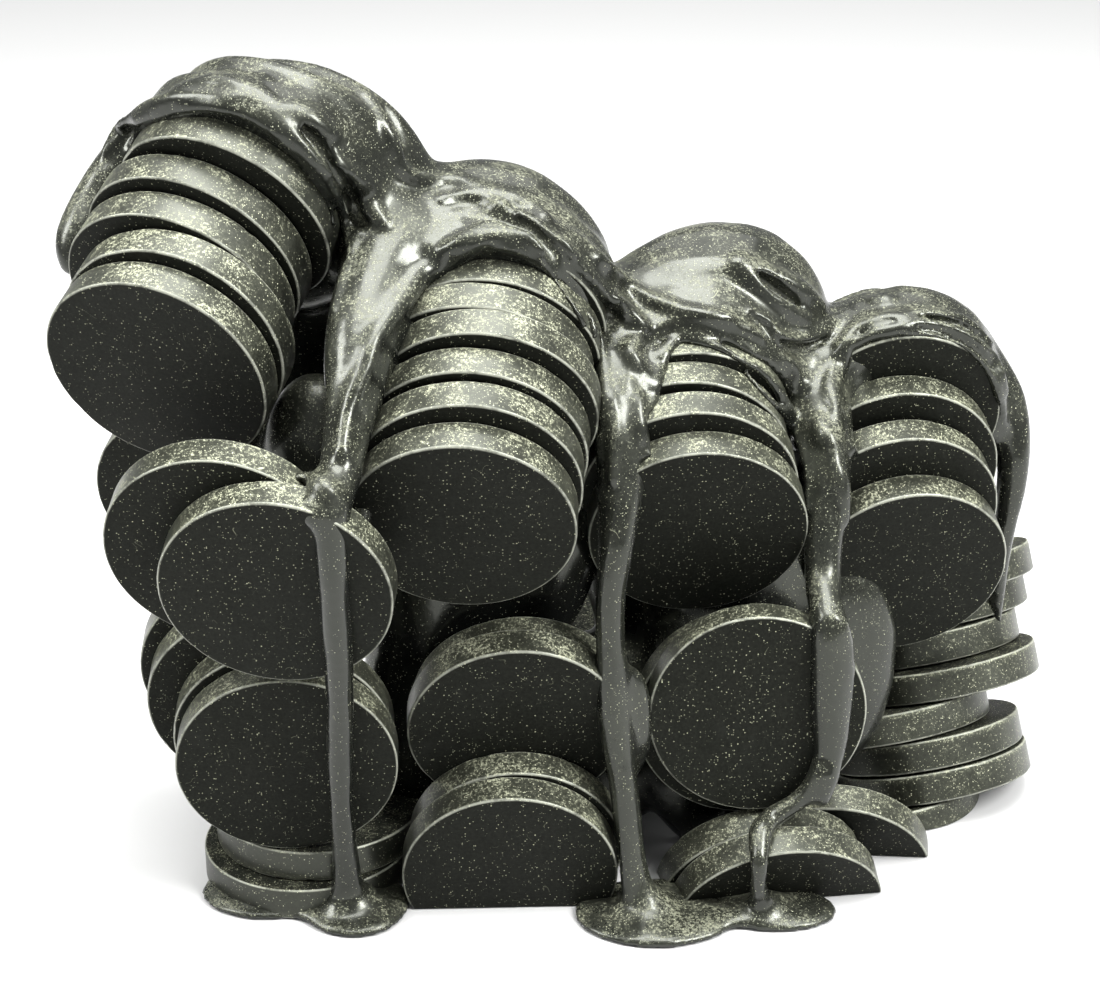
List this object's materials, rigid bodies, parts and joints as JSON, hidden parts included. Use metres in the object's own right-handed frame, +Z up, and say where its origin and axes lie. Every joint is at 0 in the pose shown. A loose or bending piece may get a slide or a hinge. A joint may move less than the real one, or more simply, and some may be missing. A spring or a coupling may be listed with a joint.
{
  "type": "magnetic disc desk sculpture",
  "caption": "Freeform desk sculpture of black ferrite disc magnets stacked in leaning columns and locked by a glossy black pour that drips into small pools.",
  "frame": {"origin": "centre of the bounding box in plan, on the flat ground base", "axes": "+Z up from the bench, -Y the front that the disc faces look out of, +X to the right seen from the front"},
  "size_m": [0.1198, 0.0716, 0.0982],
  "materials": {
    "ferrite": "satin black ferrite dusted with pale powder",
    "pour": "glossy black poured coating dusted with pale powder"
  },
  "bodies": {
    "root": {"column_a_disc_3": "ferrite", "column_a_disc_4": "ferrite", "column_a_disc_5": "ferrite", "column_a_disc_6": "ferrite", "column_b_disc_1": "ferrite", "column_b_disc_2": "ferrite", "column_b_disc_3": "ferrite", "column_b_disc_4": "ferrite", "column_b_disc_5": "ferrite", "column_b_disc_6": "ferrite", "column_b_disc_7": "ferrite", "column_c_disc_1": "ferrite", "column_c_disc_2": "ferrite", "column_c_disc_3": "ferrite", "column_c_disc_4": "ferrite", "column_c_disc_5": "ferrite", "column_c_disc_6": "ferrite", "column_d_disc_1": "ferrite", "column_d_disc_2": "ferrite", "column_d_disc_3": "ferrite", "column_d_disc_4": "ferrite", "column_d_disc_5": "ferrite", "column_d_disc_6": "ferrite", "tier_e_disc_1": "ferrite", "tier_e_disc_2": "ferrite", "tier_m_disc_1": "ferrite", "tier_m_disc_2": "ferrite", "tier_f_disc_1": "ferrite", "tier_f_disc_2": "ferrite", "tier_f_disc_3": "ferrite", "tier_f_disc_4": "ferrite", "tier_g_disc_1": "ferrite", "tier_g_disc_2": "ferrite", "tier_h_disc_1": "ferrite", "tier_h_disc_2": "ferrite", "tier_i_disc_1": "ferrite", "tier_i_disc_2": "ferrite", "tier_k_disc_1": "ferrite", "tier_k_disc_2": "ferrite", "tier_l_disc_1": "ferrite", "base_disc_1": "ferrite", "base_disc_2": "ferrite", "stack_j_disc_1": "ferrite", "stack_j_disc_2": "ferrite", "stack_j_disc_3": "ferrite", "stack_j_disc_4": "ferrite", "stack_j_disc_5": "ferrite", "stack_j_disc_6": "ferrite", "stack_j_disc_7": "ferrite", "stack_j_disc_8": "ferrite", "stack_r_disc_1": "ferrite", "stack_r_disc_2": "ferrite", "stack_r_disc_3": "ferrite", "stack_r_disc_4": "ferrite", "stack_r_disc_5": "ferrite", "poured_coating": "pour"},
    "left_disc_2": {"column_a_disc_2": "ferrite"},
    "left_disc_1": {"column_a_disc_1": "ferrite"}
  },
  "joints": [
    {"name": "left_disc_2_lift_off", "type": "slide", "parent": "root", "child": "left_disc_2", "axis": [-0.8151, -0.5707, 0.0995], "range_m": [0, 0.03]},
    {"name": "left_disc_1_lift_off", "type": "slide", "parent": "left_disc_2", "child": "left_disc_1", "axis": [-0.8151, -0.5707, 0.0995], "range_m": [0, 0.03]}
  ]
}
